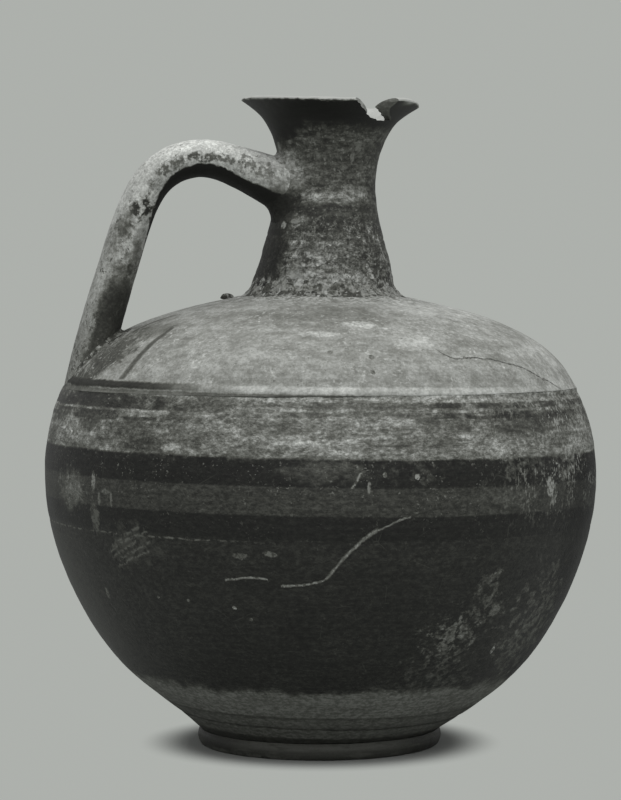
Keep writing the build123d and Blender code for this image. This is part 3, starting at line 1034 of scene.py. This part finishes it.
def neck_paint(g, bearing, height):
    """Paints the neck's outside: black slip at the mouth, worn and crusted further down."""
    streak = g.noise(2.6, 4.0, 0.6, 163, (6, 6, 0.5))
    side = side_of(g, bearing)
    paint = Canvas(g, bearing, height, neck_spot, g.vary(0.28, streak, 0.34))
    paint.lay(dark_slip, g.between(height, *throat_groove, 0.25), 0.7)
    paint.stains(neck_stains_and_shade)

    # Handle clay smeared round onto the neck
    start, full = (neck_spot(pixel)[0] for pixel in smear_side_pixels)
    low, high = (neck_spot(pixel)[1] for pixel in smear_height_pixels)
    smear = g.fade(g.vary(side, g.noise(3.0, 5.0, 0.75, 170, (3, 3, 1)), 40.0), start, full)
    paint.lay(0.54, smear, g.between(height, low, high, 3.0))

    # Lime that thickens towards the shoulder
    amount = g.both(g.fade(height, *lime_edge), g.mix(g.fade(side, *lime_left), 0.2, 1.0))
    amount = g.both(amount, g.mix(g.fade(side, *lime_right), 1.0, 0.5))
    crust = g.fade(g.linear(amount, 0.15, g.noise(3.4, 7.0, 0.85, 165)), 0.53, 0.62)
    paint.lay(faded_paint, crust, g.fade(height, *crust_edge))
    paint.weather(0.5, 11.0, 5.0, 0.75, 162, (1.5, 1.5, 0.5))
    paint.weather(0.6, 1.9, 4.0, 0.85, 171, (1.2, 1.2, 0.9))
    paint.lay(0.48, g.specks(1.5, 0.16, 0.04, 164), 0.8)
    paint.lay(lime_pale, g.specks(2.2, 0.30, 0.05, 169, detail=5.0), g.fade(height, *toe_edge))

    # Painted shade on the side under the handle, which is also less crusted
    shaded = g.both(g.fade(side, *shaded_side), g.between(height, *shaded_zone, 3.0))
    paint.lay(shaded_slip, shaded, g.mix(paint.blots, 0.95, 0.6))

    # Black slip under the lip, with its worn edge
    front = g.mix(g.fade(side, *mouth_left), 6.0, 0.0)
    ragged = g.vary(g.math("ADD", height, front), g.noise(4.0, 5.0, 0.75, 167), 14.0)
    paint.lay(g.vary(0.115, streak, 0.06), g.fade(ragged, *mouth_slip_edge))
    lip = height
    for middle, width, rise in lip_waves:
        off = g.math("ABSOLUTE", g.minus(bearing, middle))
        lip = g.minus(lip, g.both(g.fade(off, 1.5 * width, 0.2 * width), rise))
    worn = g.vary(lip, g.noise(2.0, 5.0, 0.85, 168, (1.6, 1.6, 1)), 3.6)
    paint.lay(0.64, g.fade(worn, *worn_lip_edge))
    paint.flecks(neck_flecks)
    return paint


def neck_bump(g, height):
    """Returns the fine relief of the neck: grain everywhere and crumbs of lime lower down."""
    crumbs = g.both(g.fade(g.noise(2.0, 5.0, 0.76, 165), 0.46, 0.62), g.fade(height, *crumbs_edge))
    return g.linear(g.noise(0.8, 4.0, 0.7, 182), 0.6, crumbs)


def neck_material():
    """Worn slip of the neck outside and paler clay inside."""
    g = start_material("neck_slip")
    bearing, height, sideways, ahead = g.wheel_place(neck_wheel)
    outside = neck_paint(g, bearing, height).tone
    radius = g.math("SQRT", g.math("ADD", g.both(ahead, ahead), g.both(sideways, sideways)))
    places = [(z / neck_length, r / mouth_radius) for r, z in neck_outer_line(wall_step)]
    wall = g.curve(g.math("DIVIDE", height, neck_length), places)
    inside = g.fade(g.linear(wall, mouth_radius, g.both(radius, -1.0)), *inner_depths)
    inner = g.vary(0.66, g.noise(4.0, 4.0, 0.65, 181), 0.16)
    inner = g.mix(g.fade(height, *inner_dark_edge), inner, dirty_clay)
    tone = g.mix(inside, outside, inner)
    rough = g.mix(g.fade(tone, 0.12, 0.45), 0.6, 0.88)
    return g.finish(tone, rough, neck_bump(g, height), 0.30)


def crust_material():
    """Lime and clay pressed round the neck's root, speckled pale and dark."""
    g = start_material("lime_crust")
    tone = g.mix(g.specks(3.6, 0.50, 0.07, 191, detail=7.0), 0.27, 0.52)
    tone = g.mix(g.specks(2.2, 0.30, 0.05, 193, detail=6.0), tone, 0.64)
    tone = g.mix(g.specks(1.4, 0.20, 0.05, 194, detail=4.0), tone, 0.16)
    tone = g.vary(tone, g.noise(1.0, 4.0, 0.8, 192), 0.5)
    relief = g.math("ADD", g.noise(0.9, 4.0, 0.7, 195), g.specks(2.2, 0.30, 0.08, 193, detail=6.0))
    return g.finish(tone, 0.88, relief, 0.35)


# Bearings between which the broken lip turns dirty and darkened by painted shade
dirty_shaded_break = (38.0, 42.0)


def fracture_material():
    """Broken clay of the lip: pale at the left and bottom, dirty and darkened by painted shade at the right.
    """
    g = start_material("fracture_clay")
    bearing = g.wheel_place(neck_wheel)[0]
    tone = g.vary(0.60, g.noise(2.2, 5.0, 0.7, 201), 0.4)
    # The right-hand wall of the break is dirty, and darker as painted shade
    darkening = g.vary(0.42, g.noise(1.6, 5.0, 0.7, 202), 0.5)
    edge = g.vary(bearing, g.noise(2.0, 3.0, 0.6, 203), 12.0)
    tone = g.mix(g.fade(edge, *dirty_shaded_break), tone, darkening)
    return g.finish(tone, 0.9, g.noise(0.7, 4.0, 0.75, 204), 0.4)


# Marks of the handle, and painted shade on it, with half sizes along and across it
handle_stains_and_shade = [
    (212, 148, 26, 3.4, lime_white, 0.6), (142, 187, 9, 4.5, light_clay, 0.8),
    (122, 228, 8, 2.6, thin_slip, 0.8), (136, 238, 8, 2.4, pale_clay, 0.9),
    (109, 249, 7, 3.4, dull_clay, 0.7), (112, 269, 5, 2.4, pale_clay, 0.9),
    (133, 256, 7, 1.8, worn_slip, 0.7), (118, 292, 10, 5.4, slip_grey, 0.9),
    # The grey patch at (118, 292) and the dark one at (112, 314), on the inner half of the leg, are painted
    # shade
    (112, 314, 8, 6.4, dark_slip, 0.9), (95, 282, 12, 2.4, pale_clay, 0.8),
    (86, 314, 10, 2.4, pale_clay, 0.8), (80, 343, 9, 3, dull_clay, 0.7), (98, 345, 9, 4, slip_grey, 0.8),
]
handle_scuffs = [
    (172, 165, 11, 2, slip_grey, 0.7), (196, 158, 6, 1.4, worn_slip, 0.8),
    (223, 160, 6, 1.6, worn_slip, 0.7), (250, 167, 8, 3.2, worn_slip, 0.7),
    (141, 212, 5, 4.6, dark_slip, 1.0), (123, 230, 6, 3, worn_slip, 0.8), (152, 180, 4, 2, thin_slip, 0.5),
]

# Places along the handle and across it, in millimetres, where a tone starts and where it is full
dulled_along = (84.0, 150.0)
shaded_along, shaded_across = (92.0, 120.0), (4.4, 2.4)
dirty_along = (16.0, 4.0)
stained_along, stained_across = (15.0, 5.0), (1.0, -4.0)
flaked_along = (70.0, 150.0)
speckled_along = (116.0, 144.0)

# Edge of the painted shade on the underside: shares of the handle's length, and of the way from its inner
# edge out
underside_shares = [
    (0.0, 0.65), (0.11, 0.46), (0.25, 0.70), (0.40, 0.51), (0.50, 0.25), (0.61, 0.09), (1.0, 0.0),
]


def handle_material():
    """Pale clay of the handle with flakes of dark slip, and painted shade on its inner side and underside.
    """
    g = start_material("handle_clay")
    along, across = g.attribute("along"), g.attribute("across")
    base = g.vary(0.68, g.noise(2.4, 4.0, 0.6, 213, (1, 1, 5)), 0.20)
    paint = Canvas(g, along, across, handle_spot, base)
    paint.lay(0.46, g.fade(along, *dulled_along), 0.9)
    # Painted shade on the inner half of the lower handle, which faces away from the light
    inner_half = g.fade(g.vary(across, g.noise(4.0, 5.0, 0.75, 218), 12.0), *shaded_across)
    paint.lay(deep_grey, g.fade(along, *shaded_along), inner_half, 0.9)
    paint.stains(handle_stains_and_shade)
    paint.scuffs(handle_scuffs)

    # Dirt at the neck, flakes and grain
    paint.lay(0.40, g.fade(along, *dirty_along), paint.blots, 0.6)
    ragged_along = g.vary(along, g.noise(2.4, 5.0, 0.8, 219), 12.0)
    paint.lay(0.28, g.fade(ragged_along, *stained_along), g.fade(across, *stained_across), 0.9)
    flakes = g.noise(2.6, 5.0, 0.75, 214)
    flaked = g.linear(g.fade(along, *flaked_along), 0.06, flakes)
    paint.lay(flake_grey, g.fade(flaked, 0.60, 0.66), 0.8)
    paint.weather(0.2, 4.0, 6.0, 0.8, 212)
    paint.weather(0.22, 1.3, 3.0, 0.8, 211)
    paint.lay(0.62, g.specks(1.5, 0.14, 0.05, 216), g.fade(along, *speckled_along))

    # Painted shade on the underside
    border = g.curve(g.math("DIVIDE", along, handle_length), underside_shares)
    border = g.linear(border, handle_thickness / 2, -handle_thickness / 2)
    ragged = g.vary(across, g.noise(3.0, 5.0, 0.75, 217), 3.0)
    paint.lay(g.vary(0.15, paint.edge, 0.05), g.fade(g.minus(ragged, border), 0.4, -0.4))
    relief = g.linear(g.noise(2.6, 5.0, 0.75, 214), 0.6, g.noise(0.8, 4.0, 0.7, 215))
    return g.finish(paint.tone, 0.82, relief, 0.28)


def upper_root_material():
    """Handle clay smeared onto the neck: pale above, painted shade below, fading into the neck's paint."""
    g = start_material("upper_root_clay")
    bearing, height, _, _ = g.wheel_place(neck_wheel)
    paint = neck_paint(g, bearing, height)
    blend = g.vary(g.attribute("blend"), g.noise(3.0, 5.0, 0.75, 221), 2.0)
    pale = g.mix(g.specks(3.0, 0.36, 0.06, 222, detail=5.0), 0.58, 0.34)
    pale = g.mix(g.fade(height, *root_dull_edge), pale, dirty_clay)
    paint.lay(pale, g.fade(blend, 0.0, 0.9), g.fade(height, *root_clay_edge))
    # Painted shade under the handle's end
    paint.lay(shaded_slip, g.fade(blend, 0.05, 0.5), g.fade(height, *root_shade_edge))
    paint.weather(0.3, 1.4, 4.0, 0.8, 224)
    return g.finish(paint.tone, 0.84, neck_bump(g, height), 0.28)


def lower_root_material():
    """Dirty clay pressed round the handle's foot, with white flecks."""
    g = start_material("lower_root_clay")
    mottle = g.noise(2.8, 6.0, 0.74, 231)
    tone = g.mix(g.specks(2.4, 0.56, 0.08, 232), g.vary(0.40, mottle, 0.4), g.vary(0.21, mottle, 0.16))
    tone = g.mix(g.specks(1.3, 0.20, 0.05, 233), tone, 0.60)
    relief = g.linear(mottle, 0.6, g.noise(0.8, 4.0, 0.7, 234))
    return g.finish(g.vary(tone, g.noise(0.9, 3.0, 0.65, 235), 0.14), 0.84, relief, 0.3)


def body_skin(name, material, node, hidden, outer, inner, ring):
    """Turns a part of the body, whose outer points carry the thrown relief."""
    section = np.array([*hidden, *outer, *inner])
    grid = wander(body_wheel.turn(section, bearings))
    shown = np.zeros(len(section))
    shown[len(hidden):len(hidden) + len(outer)] = 1.0
    grid = push(grid, clay_relief(grid) * shown[:, None])
    fit_piece(make_object(name, grid, [material], ring), node)


def body_skins(bowl, dome):
    """The bowl with its floor up to the seam, and the closing dome, open for the neck."""
    bore = neck_base_radius - neck_wall
    seam = [(body_wheel.radius_at(seam_height), seam_height)]
    wall = body_line(body_wall, foot_height + floor_thickness, inner_step)[::-1]
    low_wall = wall[wall[:, 1] < seam_height]
    under = even_steps([(centre_radius, foot_height), (base_radius, foot_height)], inner_step)[:-1]
    floor = even_steps([low_wall[-1], (centre_radius, low_wall[-1][1])], inner_step)[1:]
    low_outside = body_outside[body_outside[:, 1] <= seam_height]
    body_skin(
        "bowl_skin", bowl, "body_bowl",
        under, [*low_outside, *seam], [*low_wall, *floor], False,
    )
    outside, inside = (
        line[(line[:, 1] > seam_height) & (line[:, 0] > bore)] for line in (body_outside, wall)
    )
    body_skin("dome_skin", dome, "shoulder_dome", [], [*seam, *outside], inside, True)


def foot_skin(material):
    """The turned foot ring with its rounded flank and worn resting edge."""
    inner_radius = foot_radius - foot_ring_width
    middle, top = (foot_radius - foot_inset, foot_height / 2), (base_radius + foot_lap, foot_height)
    flank = smooth_line([(foot_rest_radius, foot_gap), middle, top], (0.9, 0.6), (-0.6, 1), row_step)
    resting = [(inner_radius + rest_start, 0.0), (foot_rest_radius - rest_margin, 0.0)]
    section = np.vstack([
        flank,
        even_steps([flank[-1], (inner_radius, foot_height)], inner_step)[1:],
        even_steps([(inner_radius, foot_height), (inner_radius + edge_start, foot_edge)], row_step)[1:],
        [(inner_radius + gap_start, foot_gap)],
        even_steps(resting, rest_step),
    ])
    grid = wander(body_wheel.turn(section, bearings))
    amount = uneven(grid, (0.10, 12.0, 31), (0.05, 2.4, 32))
    amount -= 0.25 * np.clip(value_noise(grid, 4.0, 33) - 0.35, 0, 1)
    amount = np.where(grid[..., 2] < 0.2, -np.abs(amount) * 0.2, amount)
    grid = push(grid, amount)
    grid[..., 2] = np.maximum(grid[..., 2], 0.0)
    fit_piece(make_object("foot_skin", grid, [material], True), "foot_ring")


def neck_skin(material, broken):
    """The neck and flared mouth, with the fragment of the lip broken away."""
    tip = neck_outside[-1]
    inner_points = [(mouth_radius - lip_thickness, neck_length - 0.1), *neck_points(neck_wall)[-2::-1]]
    inside = smooth_line(inner_points, (-1, -0.3), (0.25, -1), neck_inner_step)
    lip = smooth_line([tip, tip + lip_crest, inside[0]], (1, 1.2), (-1, 0.1), lip_step)[1:-1]
    ends = [(neck_base_radius, -neck_root)], [(neck_base_radius - neck_wall, -neck_root)]
    grid = neck_wheel.turn(np.vstack([ends[0], neck_outside, lip, inside, ends[1]]), bearings)
    grid = lip_wave(push(grid, neck_relief(grid)))
    piece = make_object("neck_skin", grid, [material, broken], True)
    break_lip(piece, broken)
    fit_piece(piece, "neck")


def lip_wave(grid):
    """Lets the lip rise and fall round the mouth, and the lower neck stand a little to the right."""
    _, bearing, height = neck_wheel.measure(grid)
    wave = sum(rise * bump(np.degrees(bearing), middle, width) for middle, width, rise in lip_waves)
    wave = wave * np.clip((height - neck_length + wave_start) / wave_softness, 0, 1)
    shift = neck_shift[0] * bump(height, *neck_shift[1:])
    return grid + wave[..., None] * neck_wheel.up + shift[..., None] * neck_wheel.right


def break_lip(piece, broken):
    """Cuts the missing fragment out of the lip with a ragged cutter that slants at its right."""
    edge = []
    for pixel, slant in chip_points:
        bearing, height = neck_wheel.spot(pixel)
        edge.append((neck_wheel.radius_at(height) * sin(radians(bearing - chip_bearing)), height, slant))
    top = neck_length + overrun
    (left, _, left_slant), (right, _, right_slant) = edge[0], edge[-1]
    edge += [(right + top_spread, top, right_slant), (left - top_spread, top, left_slant), edge[0]]
    across, up, slant = even_steps(edge, chip_step)[:-1].T
    radii = np.arange(cutter_start, mouth_radius + overrun, cutter_step)[:, None]
    wall = neck_wheel.radius_at(up)
    face = np.sqrt(wall**2 - np.minimum(across**2, 0.9 * wall**2))
    across = across + slant * np.clip(face - radii, 0, neck_wall)
    middle = radians(chip_bearing)
    outward = cos(middle) * neck_wheel.front + sin(middle) * neck_wheel.right
    sideways = -sin(middle) * neck_wheel.front + cos(middle) * neck_wheel.right
    grid = neck_wheel.foot + radii[..., None] * outward + across[..., None] * sideways
    grid = grid + up[:, None] * neck_wheel.up
    ragged = uneven(grid, (0.55, 3.0, 41), (0.35, 1.3, 42))[..., None]
    grid = grid + ragged * sideways + 0.6 * ragged * neck_wheel.up
    cutter = make_object("lip_cutter", grid, [broken], False)
    cut = piece.modifiers.new("broken_lip", "BOOLEAN")
    cut.operation = "DIFFERENCE"
    cut.solver = "EXACT"
    cut.use_self = True
    cut.material_mode = "TRANSFER"
    cut.object = cutter
    seen = bpy.context.evaluated_depsgraph_get()
    mesh = bpy.data.meshes.new_from_object(piece.evaluated_get(seen))
    piece.modifiers.clear()
    piece.data = mesh
    mesh.set_sharp_from_angle(angle=broken_sharp_angle)
    bpy.data.objects.remove(cutter)


def shoulder_height(radius):
    """Returns the shoulder's height at a radius from the wheel's axis."""
    upper = body_outside[body_outside[:, 1] >= belly_height][::-1]
    return np.interp(radius, upper[:, 0], upper[:, 1])


def neck_luting_skin(material):
    """The coil of clay and crust that fills the corner between neck and shoulder."""
    around = neck_wheel.turn([(1.0, 0.0)], bearings)[0] - neck_wheel.foot
    rise = luting_rise[0] + luting_rise[1] * value_noise(neck_wheel.foot + around * 30, 7.0, 51)
    spread = luting_spread[0] + luting_spread[1] * value_noise(neck_wheel.foot + around * 36, 9.0, 52)
    wall = neck_wheel.radius_at(rise)
    top = neck_wheel.foot + around * (wall - edge_tuck)[:, None] + rise[:, None] * neck_wheel.up
    corner = neck_wheel.foot + around * (neck_base_radius - 0.2)
    toe = neck_wheel.foot + around * (neck_base_radius + spread)[:, None]
    for line, sink in ((corner, 0.0), (toe, luting_sink)):
        line[:, 2] = shoulder_height(np.hypot(line[:, 0], line[:, 1])) - sink
    face = bend(top, corner, toe, luting_rows)
    weight = np.sin(np.linspace(0, pi, luting_rows))[:, None]
    amount = (uneven(face, (0.55, 3.4, 53), (0.35, 1.5, 54)) + 0.25) * weight
    face = push(face[::-1], amount[::-1])
    back = np.stack([
        top - luting_backing * around - 0.5 * upward,
        corner - corner_backing * upward - around,
        toe - luting_backing * upward,
    ])
    piece = make_object("neck_luting_skin", np.concatenate([face, back]), [material], True)
    fit_piece(piece, "neck_luting")


def handle_half(along, column):
    """Returns the handle's half width, column 1, or its half thickness, column 2."""
    return np.interp(along, handle_section[:, 0], handle_section[:, column])


def handle_surface(along):
    """Returns the handle's surface at millimetres along it, one column for each angle round it."""
    middle, ahead = (
        np.stack([np.interp(place, handle_places, handle_axis[:, k]) for k in range(3)], axis=-1)
        for place in (along, along + 0.5)
    )
    tangent = (ahead - middle) / np.linalg.norm(ahead - middle, axis=-1, keepdims=True)
    outward = np.stack([tangent[..., 2], np.zeros_like(along), -tangent[..., 0]], axis=-1)
    side, out = (
        np.sign(turned) * np.abs(turned) ** handle_roundness
        for turned in (np.cos(handle_angles), np.sin(handle_angles))
    )
    side = (handle_half(along, 1) * side)[..., None] * (0.0, 1.0, 0.0)
    return middle + side + (handle_half(along, 2) * out)[..., None] * outward


def handle_meets(outside, margin, from_start):
    """Finds how far along each column of the handle leaves, or enters, a wall by a margin."""
    along = np.arange(-handle_end, handle_length + handle_end, meeting_step)
    along = along[:, None] * np.ones(handle_columns)
    clear = outside(handle_surface(along)) > margin
    middle = len(along) // 2
    if from_start:
        first = middle - np.argmin(clear[:middle][::-1], axis=0)
    else:
        first = middle + np.argmin(clear[middle:], axis=0)
    return along[np.minimum(first, len(along) - 1), np.arange(handle_columns)]


def handle_skin(material):
    """The oval strap from the neck over to the shoulder."""
    start = handle_meets(neck_wheel.outside, -handle_sunk, True)
    end = handle_meets(body_wheel.outside, -handle_sunk, False)
    along = start + (end - start) * np.linspace(0, 1, handle_rows)[:, None]
    grid = handle_surface(along)
    grid = push(grid, uneven(grid, (0.26, 22.0, 61), (0.12, 7.0, 62), (0.06, 2.4, 63)))
    piece = make_object("handle_skin", grid, [material], False)
    store(piece, "along", along)
    store(piece, "across", handle_half(along, 2) * np.sin(handle_angles))
    fit_piece(piece, "handle")


def root_skin(name, material, node, wheel, upper, spread, lift, flank, seed):
    """Clay pressed round one end of the handle: a fillet from the handle down to the wall.

    Spread on the wall and lift on the handle are given at the handle's outer and inner side, and
    the flanks reach further by their own size.
    """
    meets = handle_meets(wheel.outside, 0.0, upper)
    corner = handle_surface(meets[None])[0]
    inner = (1 - np.sin(handle_angles)) / 2
    jitter = 1 + 0.22 * value_noise(corner, 7.0, seed)
    wide = flank * np.cos(handle_angles) ** 2
    reach, rise = ((size[0] + (size[1] - size[0]) * inner + wide) * jitter for size in (spread, lift))
    top = handle_surface((meets + (rise if upper else -rise))[None])[0]
    centre = corner.mean(axis=0)
    away = (corner - centre) / np.linalg.norm(corner - centre, axis=1, keepdims=True)
    toe = wheel.onto(corner + away * reach[:, None])
    outward = toe * (1.0, 1.0, 0.0)
    outward /= np.linalg.norm(outward, axis=1, keepdims=True)
    face = bend(top - edge_tuck * away, corner, toe - root_sink * outward, root_rows)
    weight = np.sin(np.linspace(0, pi, root_rows))[:, None]
    amount = uneven(face, (0.35, 5.0, seed + 1), (0.2, 2.0, seed + 2))
    face = face + (weight * amount)[..., None] * away[None]
    back = [toe - root_backing * outward, corner - corner_backing * away, top - root_backing * away]
    grid = np.concatenate([face, back])
    piece = make_object(name, grid[:, ::-1] if upper else grid, [material], True)
    blend = np.concatenate([np.linspace(1, 0, root_rows), [0, 0.5, 1]])[:, None] * np.ones(handle_columns)
    store(piece, "blend", blend)
    fit_piece(piece, node)


def crumb_skin(material):
    """The crumb of lime that sits on the shoulder left of the neck."""
    bpy.ops.mesh.primitive_ico_sphere_add(subdivisions=4, radius=1.0)
    piece = bpy.context.object
    piece.name = "lime_crumb"
    points = np.array([v.co for v in piece.data.vertices])
    points *= 1 + 0.35 * value_noise(points * 3, 2.0, 71)[:, None]
    place = -image_right * crumb_radius + upward * (shoulder_height(crumb_radius) + crumb_lift)
    piece.data.vertices.foreach_set("co", ((points * crumb_size + place) * MM).ravel())
    piece.data.materials.append(material)
    piece.data.shade_smooth()
    fit_piece(piece)


# Background greys, and where the floor's shadow fades into them
backdrop_grey = 0.437
backdrop_colour = (backdrop_grey * 0.96, backdrop_grey, backdrop_grey * 0.945, 1.0)
floor_grey = 0.44
floor_shares = {"Red": 0.965, "Green": 1.0, "Blue": 0.965}
floor_size = 6.0
shadow_start, shadow_end = 51.0, 74.0
ambient_strength = 0.50


def floor_material():
    """Pale floor that keeps the jug's shadow nearby and turns into the backdrop's tone further off."""
    g = start_material("floor_paper")
    flat = g.vector("MULTIPLY", g.place, (1.0, 1.0, 0.0))
    far = g.fade(g.math("SQRT", g.vector("DOT_PRODUCT", flat, flat)), shadow_start, shadow_end)
    seen = g.add("LightPath", "Is Camera Ray")
    tone = g.vary(floor_grey, g.noise(3.0, 4.0, 0.7, 301), 0.012)
    colour = {name: g.both(tone, share) for name, share in floor_shares.items()}
    colour = g.add("CombineColor", "Color", colour)
    g.feed(g.shader, {"Base Color": colour, "Roughness": 1.0, "Specular IOR Level": 0.0})
    glow = g.add("Emission", 0, {"Color": backdrop_colour})
    blend = g.add("MixShader", 0, {0: g.both(far, seen), 1: g.shader.outputs[0], 2: glow})
    g.feed(g.nodes["Material Output"], {"Surface": blend})
    return g.owner


def aimed(made, place, target):
    """Places an object and turns it towards a target."""
    made.location = place * MM
    made.rotation_euler = Vector(target - place).to_track_quat("-Z", "Y").to_euler()
    return show(made)


def add_camera():
    """Places the camera where the photo was taken from."""
    data = bpy.data.cameras.new("photo_camera")
    data.lens = camera_lens
    data.sensor_width = sensor_size
    bpy.context.scene.camera = aimed(bpy.data.objects.new("photo_camera", data), eye, aim)


def add_lamp(name, place, size, power):
    """Adds a square soft lamp that shines at the jug's middle."""
    data = bpy.data.lights.new(name, "AREA")
    data.size = size * MM
    data.energy = power
    aimed(bpy.data.objects.new(name, data), place, upward * belly_height)


def add_stage():
    """Adds the floor, the backdrop's tone, the ambient light and the lamps."""
    bpy.context.scene.view_settings.view_transform = "Standard"
    mesh = bpy.data.meshes.new("floor")
    corners = [(x * floor_size, y * floor_size, 0) for x, y in ((-1, -1), (1, -1), (1, 1), (-1, 1))]
    mesh.from_pydata(corners, [], [(0, 1, 2, 3)])
    mesh.materials.append(floor_material())
    floor = show(bpy.data.objects.new("floor", mesh))
    world = bpy.data.worlds.new("studio")
    bpy.context.scene.world = world
    g = Graph(world)
    ambient = g.nodes["Background"]
    g.feed(ambient, {"Color": (1.0, 1.0, 1.0, 1.0), "Strength": ambient_strength})
    seen = g.add("Background", 0, {"Color": backdrop_colour})
    blend = g.add("MixShader", 0, {0: g.add("LightPath", "Is Camera Ray"), 1: ambient.outputs[0], 2: seen})
    g.feed(g.nodes["World Output"], {"Surface": blend})
    add_lamp("window", toward_camera * 1000 + image_right * 150 + upward * 1300, size=900.0, power=10.0)
    add_lamp("ceiling", upward * 1700 - toward_camera * 100, size=1400.0, power=13.0)


crust = crust_material()
body_skins(bowl_material(), dome_material())
foot_skin(foot_material())
neck_skin(neck_material(), fracture_material())
neck_luting_skin(crust)
handle_skin(handle_material())
root_skin(
    "upper_root_skin", upper_root_material(), "handle_neck_luting",
    neck_wheel, upper=True, spread=(3.0, 6.5), lift=(3.4, 6.5), flank=4.5, seed=81,
)
root_skin(
    "lower_root_skin", lower_root_material(), "handle_shoulder_luting",
    body_wheel, upper=False, spread=(4.0, 3.0), lift=(5.0, 3.0), flank=0.5, seed=91,
)
crumb_skin(crust)
add_stage()
add_camera()
